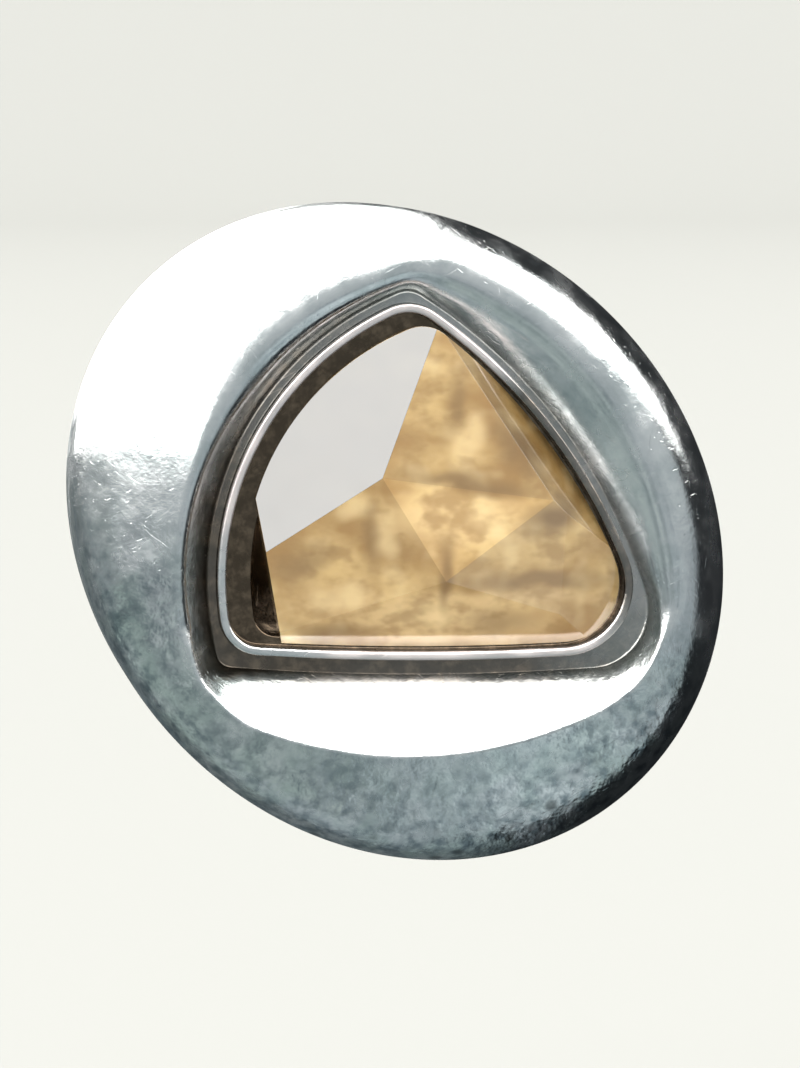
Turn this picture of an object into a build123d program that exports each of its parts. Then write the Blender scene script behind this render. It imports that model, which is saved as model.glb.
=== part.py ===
from build123d import *
import math
import os

# A silver stud earring: a slightly oval domed disc with a rounded shoulder, a dished front
# with a three-sided stone in a thin bezel lip, a straight post soldered to the back and a
# plain clutch.
#
# Each piece is shaped on the bench, lying on its back: x to the right, y up the face and
# z the height above the closed back. It is then stood up, so that the face looks along -Y,
# the post points along +Y and +Z is up. The origin is the middle of the closed back,
# where the stud sits when it is worn. All sizes are in millimetres.

# Oval body
long_radius = 3.56          # half the longest width of the face
short_radius = 3.08         # half the narrowest width of the face
long_axis_turn = 134.0      # degrees, from the right round to the upper left
dome_top = 2.20             # where the domed face would peak above the closed back
dome_radius = 8.00          # how strongly the face is domed
shoulder_round = 0.60       # rounding between the domed face and the side wall
back_edge_round = 0.12      # rounding where the back meets the side wall

# Three-sided opening for the stone, at the inside of the bezel lip
opening_apex_x = 0.09       # top corner, measured from the middle of the disc
opening_apex_y = 2.30
opening_left_x = 1.71       # left corner, to the left of the middle
opening_right_x = 2.45      # right corner, to the right of the middle
opening_base_y = 1.08       # the base line, below the middle
left_side_bulge = 0.72      # how far each side bows out from its straight chord
right_side_bulge = 0.40
base_bulge = 0.08
apex_radius = 0.38          # rounding of each corner of the opening
left_corner_radius = 0.32
right_corner_radius = 0.63
smallest_corner_radius = 0.05

# Bezel lip and the valley round it
lip_thickness = 0.09        # thin wall that holds the stone
lip_height = 0.20           # how far the lip stands above the valley
valley_left_width = 0.10    # flat ground between the lip and the dished bevel
valley_right_width = 0.07
valley_base_width = 0.15
valley_apex_radius = 0.25   # rounding of each corner of the valley
valley_left_radius = 0.15
valley_right_radius = 0.60
valley_level = 1.40         # height of the valley above the closed back

# Outline of the dish at a level just above its rim, almost a circle. The bevel runs from
# here down to the valley, and meets the dome on its way.
dish_level = 1.95
dish_apex_x = 0.41
dish_apex_y = 2.70
dish_left_x = 1.88          # left corner, to the left of the middle
dish_left_y = 2.02          # and below it
dish_right_x = 2.46         # right corner, to the right of the middle
dish_right_y = 1.93         # and below it
dish_left_bulge = 1.40
dish_right_bulge = 1.19
dish_base_bulge = 0.32
dish_apex_radius = 1.18     # rounding of each corner of the rim
dish_left_radius = 0.60
dish_right_radius = 0.80
tool_overshoot = 0.50       # how far a cutting shape runs past the metal

# Seat of the stone
back_plate = 0.85           # closed silver below the stone
ledge_width = 0.09          # shelf that the girdle rests on
ledge_left_width = 0.27     # the shelf is wider along the left side, where the gap is wider
ledge_depth = 0.12          # how far the shelf lies below the valley
stone_gap = 0.04            # clearance between the stone and the upright wall round it
stone_left_gap = 0.18       # wider gap along the stone's bowed left side
seat_gap = 0.06             # clearance between the girdle and its shelf

# Cut stone
girdle_height = 0.10        # upright band of the stone above its shelf
crown_height = 0.38         # from the girdle up to the flat top
table_left_x = 0.24         # three corners of the flat top: one towards the left side
table_left_y = 0.60
table_right_x = 1.49        # one towards the right side
table_right_y = 0.37
table_base_x = 0.40         # and one towards the base, below the middle
table_base_y = 0.44
culet_gap = 0.06            # clearance below the stone's lowest point
blunt_corner_cut = 0.30     # how much is missing from the stone's left corner
blunt_corner_turn = 10.0    # degrees that the missing corner's face leans from upright

# Post
post_radius = 0.40
post_length = 11.0          # from the closed back to the tip
post_tip_round = 0.30
solder_fillet = 0.15        # fillet of solder round the foot of the post
groove_depth = 0.12         # shallow rounded stop groove for the clutch
groove_round = 0.45         # radius of the groove's own curve
free_end = 2.40             # post beyond the groove

# Clutch
clutch_gap = 4.80           # room between the closed back and the clutch
pad_radius = 2.20           # round pad at the front of the clutch
pad_thickness = 0.50
pad_round = 0.18
barrel_radius = 1.20        # barrel that grips the post
barrel_length = 2.30
barrel_round = 0.45
barrel_fillet = 0.25        # fillet between the pad and the barrel
bore_gap = 0.03             # running clearance of the bore on the post
bore_chamfer = 0.10

# Fine sizes for drawing and for finding edges
touch = 1e-6                # two sizes closer than this count as the same

# Levels above the closed back that follow from the sizes above
lip_top = valley_level + lip_height
ledge_level = valley_level - ledge_depth
girdle_bottom = ledge_level + seat_gap
girdle_top = girdle_bottom + girdle_height
table_level = girdle_top + crown_height
culet_level = back_plate + culet_gap

# Crown facets that fall from an edge of the flat top to a corner. The height where a facet
# reaches the corner is a share of the crown's height. A small steep facet finishes the right
# corner, where the large one ends well above the girdle.
CORNER_FACETS = [
    # corner, the two corners of the flat top, share of the height left at the end
    ("apex", "left", "right", 0.80),
    ("left", "base", "left", 0.12),
    ("right", "right", "base", 0.28),
]
TIPPED_CORNERS = ("right",)
corner_tip_share = 0.86     # where the small steep facet at a corner starts
pavilion_side_share = 0.45  # how far out the flat bottom of the stone reaches
pavilion_corner_share = 0.40


def opening_corners():
    """The three corners of the opening, before they are rounded."""
    return {
        "apex": Vector(opening_apex_x, opening_apex_y),
        "left": Vector(-opening_left_x, -opening_base_y),
        "right": Vector(opening_right_x, -opening_base_y),
    }


def middle_of(corners):
    """The middle of three corners."""
    return (corners["apex"] + corners["left"] + corners["right"]) / 3


def side_circle(start, end, bulge):
    """Centre and radius of the circle that a bowed side runs on."""
    chord = end - start
    outward = Vector(chord.Y, -chord.X).normalized()
    radius = (chord.length ** 2 / 4 + bulge ** 2) / (2 * bulge)
    return (start + end) / 2 + outward * (bulge - radius), radius


def inner_meeting_point(circle_a, circle_b, near):
    """The point near a corner that lies on both of two circles."""
    (centre_a, radius_a), (centre_b, radius_b) = circle_a, circle_b
    between = centre_b - centre_a
    along = (radius_a ** 2 - radius_b ** 2 + between.length ** 2) / (2 * between.length)
    aside = math.sqrt(radius_a ** 2 - along ** 2)
    way = between.normalized()
    foot = centre_a + way * along
    swing = Vector(-way.Y, way.X) * aside
    return min(foot + swing, foot - swing, key=lambda point: (point - near).length)


def bowed_triangle(corners, bulges, corner_radii, margins):
    """A flat three-sided face of six arcs, three bowed sides and three round corners.

    A margin moves its side outwards, or inwards if it is negative.
    """
    ends = {"left": ("apex", "left"), "base": ("left", "right"), "right": ("right", "apex")}
    circles = {}
    for side, (start, end) in ends.items():
        centre, side_radius = side_circle(corners[start], corners[end], bulges[side])
        circles[side] = (centre, side_radius + margins[side])
    rounds = {}
    neighbours = {"apex": ("right", "left"), "left": ("left", "base"), "right": ("base", "right")}
    for corner, sides in neighbours.items():
        inner = [(circles[side][0], circles[side][1] - corner_radii[corner]) for side in sides]
        rounds[corner] = inner_meeting_point(inner[0], inner[1], corners[corner])
    edges = []
    for side, (start, end) in ends.items():
        centre, side_radius = circles[side]
        first = (rounds[start] - centre).normalized()
        last = (rounds[end] - centre).normalized()
        points = [centre + way.normalized() * side_radius for way in (first, first + last, last)]
        edges.append(ThreePointArc(*points))
        following = {"left": "base", "base": "right", "right": "left"}[side]
        leaving = (rounds[end] - circles[following][0]).normalized()
        ways = [way.normalized() for way in (last, last + leaving, leaving)]
        points = [rounds[end] + way * corner_radii[end] for way in ways]
        edges.append(ThreePointArc(*points))
    return make_face(edges)


def opening_bulges():
    """How far each side of the opening bows out."""
    return {"left": left_side_bulge, "right": right_side_bulge, "base": base_bulge}


def opening_radii(margin):
    """The rounding of each corner of the opening, after it is grown by a margin."""
    radii = {"apex": apex_radius, "left": left_corner_radius, "right": right_corner_radius}
    return {corner: max(radius + margin, smallest_corner_radius) for corner, radius in radii.items()}


def opening_face(margin=0.0):
    """The opening's outline, grown outwards by a margin, or inwards by a negative one."""
    bulges = opening_bulges()
    margins = dict.fromkeys(bulges, margin)
    return bowed_triangle(opening_corners(), bulges, opening_radii(margin), margins)


def valley_face():
    """The outline of the valley, at the foot of the bevel."""
    widths = {"left": valley_left_width, "right": valley_right_width, "base": valley_base_width}
    margins = {side: lip_thickness + width for side, width in widths.items()}
    radii = {"apex": valley_apex_radius, "left": valley_left_radius, "right": valley_right_radius}
    return bowed_triangle(opening_corners(), opening_bulges(), radii, margins)


def well_face(extra=0.0):
    """The outline of the well inside the shelf, made smaller by an extra clearance."""
    margins = {"left": -ledge_left_width, "right": -ledge_width, "base": -ledge_width}
    margins = {side: margin - extra for side, margin in margins.items()}
    radii = opening_radii(-ledge_width - extra)
    return bowed_triangle(opening_corners(), opening_bulges(), radii, margins)


def stone_face():
    """The outline of the stone at its girdle."""
    margins = {"left": -stone_left_gap, "right": -stone_gap, "base": -stone_gap}
    return bowed_triangle(opening_corners(), opening_bulges(), opening_radii(-stone_gap), margins)


def dish_rim_face():
    """The outline where the dished bevel meets the shoulder."""
    corners = {
        "apex": Vector(dish_apex_x, dish_apex_y),
        "left": Vector(-dish_left_x, -dish_left_y),
        "right": Vector(dish_right_x, -dish_right_y),
    }
    bulges = {"left": dish_left_bulge, "right": dish_right_bulge, "base": dish_base_bulge}
    radii = {"apex": dish_apex_radius, "left": dish_left_radius, "right": dish_right_radius}
    return bowed_triangle(corners, bulges, radii, dict.fromkeys(bulges, 0.0))


def oval_body():
    """The oval disc with its domed face and its rounded shoulder, before it is dished."""
    outline = Rot(0, 0, long_axis_turn) * Ellipse(long_radius, short_radius)
    dome = Pos(0, 0, dome_top - dome_radius) * Sphere(dome_radius)
    disc = extrude(outline, dome_top) & dome
    back_outline, front_outline = disc.edges().sort_by(SortBy.LENGTH)[-2:].sort_by(Axis.Z)
    disc = fillet(front_outline, shoulder_round)
    back_outline = disc.edges().sort_by(SortBy.LENGTH)[-3:].sort_by(Axis.Z)[0]
    return fillet(back_outline, back_edge_round)


def dish_tool():
    """The space taken out of the front: a bevel from the dish's rim down to the valley."""
    foot = Pos(0, 0, valley_level) * valley_face()
    rim = Pos(0, 0, dish_level) * dish_rim_face()
    bevel = loft([foot, rim], ruled=True)
    return bevel + extrude(rim, tool_overshoot)


def seat_tool():
    """The pocket for the stone: an upright wall down to the shelf, then a smaller well."""
    shelf = Pos(0, 0, ledge_level) * opening_face()
    well = Pos(0, 0, back_plate) * well_face()
    return extrude(shelf, dish_level) + extrude(well, dish_level)


def bezel_lip():
    """The thin wall that stands in the dish round the stone."""
    foot = Pos(0, 0, back_plate) * opening_face(lip_thickness)
    return extrude(foot, lip_top - back_plate)


def post():
    """The straight post with its rounded tip and the stop groove for the clutch."""
    pin = Cylinder(post_radius, post_length, align=(Align.CENTER, Align.CENTER, Align.MAX))
    tip = pin.edges().group_by(Axis.Z)[0]
    pin = fillet(tip, post_tip_round)
    ring = Torus(post_radius + groove_round - groove_depth, groove_round)
    groove_half_width = math.sqrt(groove_round ** 2 - (groove_round - groove_depth) ** 2)
    pin -= Pos(0, 0, free_end + groove_half_width - post_length) * ring
    foot = Cylinder(post_radius, back_plate / 2, align=(Align.CENTER, Align.CENTER, Align.MIN))
    return pin + foot


def bezel_setting():
    """The silver front, its bezel lip and the soldered post, all one solid."""
    front = oval_body() - dish_tool() + bezel_lip() - seat_tool()
    setting = front + post()
    feet = setting.edges().filter_by(GeomType.CIRCLE)
    foot = [e for e in feet if abs(e.center().Z) < touch and abs(e.radius - post_radius) < touch]
    return fillet(foot, solder_fillet)


def slanted_plane(middle, direction, reach_low, height_low, reach_high, height_high):
    """A plane that falls outwards, through two distances from the middle and their heights."""
    run = reach_low - reach_high
    rise = height_high - height_low
    outward = direction * rise + Vector(0, 0, run)
    point = Vector(middle.X, middle.Y, height_high) + direction * reach_high
    return Plane(origin=point, z_dir=outward)


def reach_of(face, middle, direction):
    """How far a flat outline reaches from the middle along a direction."""
    return max((point - middle).dot(direction) for point in outline_points(face))


def outline_points(face):
    """Points along every edge of a flat outline."""
    shares = [0.0, 0.25, 0.5, 0.75, 1.0]
    return [edge @ share for edge in face.edges() for share in shares]


def side_directions():
    """The outward direction of each side of the stone."""
    corners = opening_corners()
    ends = {"left": ("apex", "left"), "base": ("left", "right"), "right": ("right", "apex")}
    directions = {}
    for name, (start, end) in ends.items():
        along = (corners[end] - corners[start]).normalized()
        directions[name] = Vector(along.Y, -along.X)
    return directions


def corner_directions():
    """The direction from the stone's middle to each corner."""
    corners = opening_corners()
    middle = middle_of(corners)
    return {name: (corner - middle).normalized() for name, corner in corners.items()}


def table_corners():
    """The corners of the stone's flat top, each named for the side that it points to."""
    return {
        "left": Vector(-table_left_x, table_left_y),
        "right": Vector(table_right_x, table_right_y),
        "base": Vector(table_base_x, -table_base_y),
    }


def facet_planes(outline, middle):
    """The planes that cut the crown and the pavilion of the stone."""
    sides = side_directions()
    corners = corner_directions()
    table = table_corners()
    planes = [Plane(origin=(0, 0, table_level), z_dir=(0, 0, 1))]
    for name, way in sides.items():
        reach = reach_of(outline, middle, way)
        table_reach = (table[name] - middle).dot(way)
        planes.append(slanted_plane(middle, way, reach, girdle_top, table_reach, table_level))
    for name, first, second, height_share in CORNER_FACETS:
        along = (table[second] - table[first]).normalized()
        way = Vector(-along.Y, along.X)
        reach = reach_of(outline, middle, way)
        table_reach = (table[first] - middle).dot(way)
        low = girdle_top + crown_height * height_share
        planes.append(slanted_plane(middle, way, reach, low, table_reach, table_level))
        if name in TIPPED_CORNERS:
            tip_reach = reach_of(outline, middle, corners[name])
            tip_start = tip_reach * corner_tip_share
            planes.append(slanted_plane(middle, corners[name], tip_reach, girdle_top, tip_start, low))
    for name, way in sides.items():
        reach = reach_of(outline, middle, way)
        planes.append(pavilion_plane(middle, way, reach, pavilion_side_share))
    for name, way in corners.items():
        reach = reach_of(outline, middle, way)
        planes.append(pavilion_plane(middle, way, reach, pavilion_corner_share))
    return planes


def pavilion_plane(middle, direction, reach, share):
    """A plane under the stone, from its girdle in to the flat bottom."""
    run = reach * (1 - share)
    drop = girdle_bottom - culet_level
    outward = direction * drop - Vector(0, 0, run)
    point = Vector(middle.X, middle.Y, girdle_bottom) + direction * reach
    return Plane(origin=point, z_dir=outward)


def stone():
    """The three-sided stone, cut by planes from an upright blank."""
    outline = stone_face()
    middle = middle_of(opening_corners())
    blank = extrude(Pos(0, 0, girdle_bottom) * outline, table_level + tool_overshoot - girdle_bottom)
    below = well_face(stone_gap)
    blank += extrude(Pos(0, 0, culet_level) * below, girdle_bottom - culet_level)
    blunt_way = Vector(-1, 0).rotate(Axis.Z, blunt_corner_turn)
    blunt_reach = reach_of(outline, middle, blunt_way) - blunt_corner_cut
    blunt = Plane(origin=middle + blunt_way * blunt_reach, z_dir=blunt_way)
    for plane in facet_planes(outline, middle) + [blunt]:
        blank = split(blank, bisect_by=plane, keep=Keep.BOTTOM)
    return blank


def clutch_back():
    """The plain clutch: a round pad and a barrel with a bore for the post."""
    pad = Cylinder(pad_radius, pad_thickness, align=(Align.CENTER, Align.CENTER, Align.MAX))
    pad = fillet(pad.edges(), pad_round)
    barrel = Cylinder(barrel_radius, barrel_length, align=(Align.CENTER, Align.CENTER, Align.MAX))
    barrel = fillet(barrel.edges().group_by(Axis.Z)[0], barrel_round)
    clutch = pad + Pos(0, 0, -pad_thickness) * barrel
    seam = clutch.edges().filter_by(GeomType.CIRCLE)
    seam = [e for e in seam if abs(e.center().Z + pad_thickness) < touch]
    seam = [e for e in seam if abs(e.radius - barrel_radius) < touch]
    clutch = fillet(seam, barrel_fillet)
    bore_radius = post_radius + bore_gap
    full_length = pad_thickness + barrel_length
    bore = Cylinder(bore_radius, full_length, align=(Align.CENTER, Align.CENTER, Align.MAX))
    clutch -= bore
    mouths = clutch.edges().filter_by(GeomType.CIRCLE)
    mouths = [e for e in mouths if abs(e.radius - bore_radius) < touch]
    clutch = chamfer(mouths, bore_chamfer)
    return Pos(0, 0, -clutch_gap) * clutch


def stand_up(shape):
    """Turns a piece from the bench into its worn position, with the face along -Y."""
    return Rot(90, 0, 0) * shape


os.makedirs("parts", exist_ok=True)
PIECES = {"bezel_setting": bezel_setting(), "stone": stone(), "clutch_back": clutch_back()}
for node_name, piece in PIECES.items():
    solid = stand_up(piece)
    print(node_name, "volume", round(solid.volume, 4), "solids", len(solid.solids()))
    export_step(solid, f"parts/{node_name}.step")
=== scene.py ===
# %% [markdown]
# # A silver stud earring with a three-sided stone
# The stud is a slightly oval disc of silver, about 7 mm across. Its domed face has a dish cut
# into it, and in the dish a thin lip of silver holds a cut, honey coloured stone. A straight
# post is soldered to the back, and a plain clutch is pushed on to it.
#
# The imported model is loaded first, as a fixed frame. Its surfaces are made of a few flat
# triangles, and polished silver shows every one of them. So each piece is modelled again here
# from the same sizes, with fine and even surfaces.

# %% Load the frame
import math
import bmesh
import bpy
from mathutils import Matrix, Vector


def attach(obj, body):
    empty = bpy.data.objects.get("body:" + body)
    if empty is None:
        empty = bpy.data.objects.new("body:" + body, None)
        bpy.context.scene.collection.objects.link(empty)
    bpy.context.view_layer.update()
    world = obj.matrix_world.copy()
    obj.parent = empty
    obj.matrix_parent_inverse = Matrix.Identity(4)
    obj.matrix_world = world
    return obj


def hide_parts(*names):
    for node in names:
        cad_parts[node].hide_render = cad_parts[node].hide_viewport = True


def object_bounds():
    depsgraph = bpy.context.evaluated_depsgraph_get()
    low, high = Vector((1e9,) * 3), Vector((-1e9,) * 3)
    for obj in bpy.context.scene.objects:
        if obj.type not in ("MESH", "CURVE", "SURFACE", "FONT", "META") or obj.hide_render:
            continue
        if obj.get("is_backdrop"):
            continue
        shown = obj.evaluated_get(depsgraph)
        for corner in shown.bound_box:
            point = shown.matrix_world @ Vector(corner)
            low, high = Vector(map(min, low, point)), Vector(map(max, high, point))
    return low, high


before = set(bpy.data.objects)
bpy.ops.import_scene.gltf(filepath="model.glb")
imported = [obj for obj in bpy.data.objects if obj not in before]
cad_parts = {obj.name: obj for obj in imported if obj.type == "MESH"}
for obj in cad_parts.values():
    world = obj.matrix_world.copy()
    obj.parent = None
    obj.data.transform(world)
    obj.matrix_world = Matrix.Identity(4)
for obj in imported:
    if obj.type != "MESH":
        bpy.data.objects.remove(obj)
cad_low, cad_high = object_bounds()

# %% [markdown]
# ## Working larger than life
# A jeweller draws such a piece many times its size, and so do we: one Blender unit is one
# millimetre while a piece is being made, because Blender's tools grow inexact on sizes of a
# few thousandths of a metre. At the end the piece is shrunk a thousand times.
#
# Each piece is thought of as lying on its back: x to the right, y up the face, and the height
# above the closed back. `stood_up` turns such a place into the worn position, where the face
# looks along -Y and the post points along +Y.

# %% Helpers for working in millimetres
MILLIMETRE = 0.001


def stood_up(x, y, height):
    return Vector((x, -height, y))


def select_nothing():
    if bpy.context.object and bpy.context.object.mode != "OBJECT":
        bpy.ops.object.mode_set(mode="OBJECT")
    bpy.ops.object.select_all(action="DESELECT")


def select_only(piece):
    select_nothing()
    piece.select_set(True)
    bpy.context.view_layer.objects.active = piece


def shrink_to_real_size(piece):
    select_only(piece)
    piece.scale = (MILLIMETRE, MILLIMETRE, MILLIMETRE)
    bpy.ops.object.transform_apply(location=True, rotation=True, scale=True)


def leave_edit_mode():
    """Turn every face outwards and go back to object mode."""
    bpy.ops.mesh.select_all(action="SELECT")
    bpy.ops.mesh.normals_make_consistent(inside=False)
    bpy.ops.object.mode_set(mode="OBJECT")


# %% [markdown]
# ## Steps, arcs and directions
# Every profile of the stud is made of straight runs and parts of circles, cut into steps, and
# every outline is drawn along directions that are spread evenly round a middle.

# %% Cut runs, arcs and circles into steps
def evenly(start, end, steps):
    """Values or places in even steps from one to the other, without the first."""
    return [start + (end - start) * step / steps for step in range(1, steps + 1)]


def arc(centre_radius, centre_depth, size, start_degrees, end_degrees, steps=8):
    """Part of a circle in a profile, as radii and depths, without the first."""
    angles = [math.radians(turn) for turn in evenly(start_degrees, end_degrees, steps)]
    return [(centre_radius + size * math.cos(a), centre_depth + size * math.sin(a)) for a in angles]


def ways_round(count):
    """Directions spread evenly, from the right and round by the top."""
    angles = [2 * math.pi * number / count for number in range(count)]
    return [Vector((math.cos(a), math.sin(a))) for a in angles]


# %% [markdown]
# ## The three-sided outlines
# The opening, the lip, the valley and the rim of the dish are all triangles with bowed sides
# and round corners, so one recipe draws them all. A side is part of a large circle and a
# corner part of a small one. Every outline is asked the same question, how far it reaches
# from the middle of the stone in a given direction, so that points on different outlines
# line up along straight rays.

# %% A triangle with bowed sides
CORNERS = {
    "apex": Vector((0.09, 2.30)),
    "left": Vector((-1.71, -1.08)),
    "right": Vector((2.45, -1.08)),
}
SIDES = {"left": ("apex", "left"), "base": ("left", "right"), "right": ("right", "apex")}
SIDES_AT_CORNER = {"apex": ("right", "left"), "left": ("left", "base"), "right": ("base", "right")}
MIDDLE = sum(CORNERS.values(), Vector((0, 0))) / 3


def side_circle(start, end, bulge):
    chord = end - start
    outward = Vector((chord.y, -chord.x)).normalized()
    radius = (chord.length ** 2 / 4 + bulge ** 2) / (2 * bulge)
    return (start + end) / 2 + outward * (bulge - radius), radius


def meeting_point(first, second, near):
    (centre_a, radius_a), (centre_b, radius_b) = first, second
    between = centre_b - centre_a
    along = (radius_a ** 2 - radius_b ** 2 + between.length ** 2) / (2 * between.length)
    aside = math.sqrt(max(radius_a ** 2 - along ** 2, 0))
    way = between.normalized()
    foot = centre_a + way * along
    swing = Vector((-way.y, way.x)) * aside
    return min(foot + swing, foot - swing, key=lambda point: (point - near).length)


def far_crossing(start, way, centre, radius):
    """How far a ray runs before it leaves a circle."""
    offset = start - centre
    along = offset.dot(way)
    return -along + math.sqrt(max(along ** 2 - offset.length_squared + radius ** 2, 0))


class BowedTriangle:
    """Three bowed sides, each moved outwards by a margin, with rounded corners."""

    def __init__(self, corners, bulges, radii, margins):
        self.sides = {}
        for name, (start, end) in SIDES.items():
            centre, radius = side_circle(corners[start], corners[end], bulges[name])
            self.sides[name] = (centre, radius + margins[name])
        self.rounds = {}
        for name, neighbours in SIDES_AT_CORNER.items():
            size = radii[name]
            inner = [(self.sides[side][0], self.sides[side][1] - size) for side in neighbours]
            centre = meeting_point(inner[0], inner[1], corners[name])
            touches = [centre + (centre - self.sides[side][0]).normalized() * size for side in neighbours]
            self.rounds[name] = (centre, size, touches)

    def reach(self, way):
        """How far the outline is from the stone's middle in one direction."""
        for centre, radius, (first, second) in self.rounds.values():
            before, after = first - MIDDLE, second - MIDDLE
            span = before.cross(after)
            within = before.cross(way) * span >= 0 and way.cross(after) * span >= 0
            if within and (before + after).dot(way) > 0:
                return far_crossing(MIDDLE, way, centre, radius)
        return min(far_crossing(MIDDLE, way, centre, radius) for centre, radius in self.sides.values())


# %% [markdown]
# ## The outlines of this stud
# The opening for the stone is the first outline. The lip runs round it, the valley round the
# lip, and the rim of the dish is wider still. Below the lip a ledge carries the stone, and
# the well is the hole inside the ledge. The stone is a little smaller than its opening, with
# the widest gap on its bowed left side.

# %% Name the outlines
OPENING_BULGES = {"left": 0.72, "right": 0.40, "base": 0.08}
OPENING_RADII = {"apex": 0.38, "left": 0.32, "right": 0.63}
SMALLEST_RADIUS = 0.05
LIP_THICKNESS = 0.09
VALLEY_WIDTHS = {"left": 0.10, "right": 0.07, "base": 0.15}
VALLEY_RADII = {"apex": 0.25, "left": 0.15, "right": 0.60}
LEDGE_WIDTHS = {"left": 0.27, "right": 0.09, "base": 0.09}
STONE_GAPS = {"left": 0.18, "right": 0.04, "base": 0.04}
RIM_CORNERS = {
    "apex": Vector((0.41, 2.70)),
    "left": Vector((-1.88, -2.02)),
    "right": Vector((2.46, -1.93)),
}
RIM_BULGES = {"left": 1.40, "right": 1.19, "base": 0.32}
RIM_RADII = {"apex": 1.18, "left": 0.60, "right": 0.80}


def near_the_opening(margins, radius_change=0.0, radii=None):
    """The opening's outline again, with each side moved out or in by its own margin."""
    grown = {name: max(radius + radius_change, SMALLEST_RADIUS) for name, radius in OPENING_RADII.items()}
    return BowedTriangle(CORNERS, OPENING_BULGES, radii or grown, margins)


valley_margins = {side: LIP_THICKNESS + width for side, width in VALLEY_WIDTHS.items()}
well_margins = {side: -width for side, width in LEDGE_WIDTHS.items()}
stone_margins = {side: -gap for side, gap in STONE_GAPS.items()}

opening = near_the_opening(dict.fromkeys(SIDES, 0.0))
lip_outside = near_the_opening(dict.fromkeys(SIDES, LIP_THICKNESS), LIP_THICKNESS)
valley = near_the_opening(valley_margins, radii=VALLEY_RADII)
well = near_the_opening(well_margins, -LEDGE_WIDTHS["base"])
stone_outline = near_the_opening(stone_margins, -STONE_GAPS["base"])
dish_rim = BowedTriangle(RIM_CORNERS, RIM_BULGES, RIM_RADII, dict.fromkeys(SIDES, 0.0))

# %% [markdown]
# ## The oval of the face
# The disc is an ellipse whose long axis leans to the upper left. Its front is part of a large
# sphere, and a rounded shoulder, which a polishing wheel leaves, joins it to the upright wall.

# %% The ellipse and the dome
LONG_RADIUS, SHORT_RADIUS = 3.56, 3.08
LONG_AXIS_TURN = math.radians(134)
DOME_TOP, DOME_RADIUS = 2.20, 8.00
SHOULDER_ROUND = 0.60
dome_centre_height = DOME_TOP - DOME_RADIUS


def dome_height(place):
    return dome_centre_height + math.sqrt(DOME_RADIUS ** 2 - place.length_squared)


def oval_edge(way):
    """Where a ray from the stone's middle leaves the oval, and the oval's outward direction there."""
    long_way = Vector((math.cos(LONG_AXIS_TURN), math.sin(LONG_AXIS_TURN)))
    short_way = Vector((-long_way.y, long_way.x))
    start = Vector((MIDDLE.dot(long_way) / LONG_RADIUS, MIDDLE.dot(short_way) / SHORT_RADIUS))
    slope = Vector((way.dot(long_way) / LONG_RADIUS, way.dot(short_way) / SHORT_RADIUS))
    a, b, c = slope.length_squared, start.dot(slope), start.length_squared - 1
    distance = (-b + math.sqrt(b * b - a * c)) / a
    edge = start + slope * distance
    outward = long_way * edge.x / LONG_RADIUS + short_way * edge.y / SHORT_RADIUS
    return MIDDLE + way * distance, outward.normalized()


# %% [markdown]
# ## The shoulder
# The shoulder is the path of a ball of 0.6 mm rolled round inside the edge: it touches the
# wall on one side and the dome on the other, so both joins are smooth.

# %% Roll a ball round the edge
def shoulder(way):
    """Where the ball stands, and the directions in which it touches the dome and the wall."""
    edge, outward = oval_edge(way)
    ball = edge - outward * SHOULDER_ROUND
    ball_height = dome_centre_height + math.sqrt((DOME_RADIUS - SHOULDER_ROUND) ** 2 - ball.length_squared)
    ball_centre = Vector((ball.x, ball.y, ball_height))
    dome_way = Vector((ball.x, ball.y, ball_height - dome_centre_height)).normalized()
    return ball_centre, dome_way, Vector((outward.x, outward.y, 0))


def dome_end(way):
    ball_centre, dome_way, _ = shoulder(way)
    return (ball_centre + dome_way * SHOULDER_ROUND).xy


# %% [markdown]
# ## One slice through the front
# Cut the face along a ray and its profile appears: the floor of the seat, the ledge that
# carries the stone, the lip, the valley, the bevel of the dish, the crest and the dome. The
# profile is a bent line, and each bend gets its own small round, since metal never has a
# perfectly sharp edge. The lip's top is half round, because it was burnished over the stone.
# The crest is soft above and on the right, where polishing wore it down, and crisp below.

# %% The profile from the seat to the dome
BACK_PLATE, LEDGE_LEVEL, VALLEY_LEVEL, LIP_TOP, DISH_LEVEL = 0.85, 1.28, 1.40, 1.60, 1.95
CREST_LANDING, LANDING_SHARE = 0.45, 0.85
SOFT_CREST, CRISP_CREST = 0.34, 0.06
CRISP_BELOW, CRISP_LEFT_OF, CRISP_FADE, LEFT_CRISPNESS = -0.22, -0.75, 0.20, 0.7
BENDS = [0.02, 0.02, 0.05, 0.05, 0.02, 0.05]
SHARE_BACK, SHARE_AHEAD, LAST_SHARE_AHEAD = 0.60, 0.45, 0.95
RUN_STEPS = [2, 2, 3, 1, 3, 1, 10, 2]
BEND_STEPS = 7
HALVINGS = 30


def rim_distance(way):
    """Where the bevel of the dish meets the dome, found by halving the run again and again."""
    foot, head = valley.reach(way), dish_rim.reach(way)
    low, high = 0.0, 1.0
    for _ in range(HALVINGS):
        share = (low + high) / 2
        place = MIDDLE + way * (foot + (head - foot) * share)
        if VALLEY_LEVEL + (DISH_LEVEL - VALLEY_LEVEL) * share < dome_height(place):
            low = share
        else:
            high = share
    return foot + (head - foot) * low


def between_0_and_1(value):
    return max(0.0, min(1.0, value))


def crest_round(way):
    below = between_0_and_1((CRISP_BELOW - way.y) / CRISP_FADE)
    leftwards = LEFT_CRISPNESS * between_0_and_1((CRISP_LEFT_OF - way.x) / CRISP_FADE)
    return SOFT_CREST + (CRISP_CREST - SOFT_CREST) * max(below, leftwards)


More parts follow.
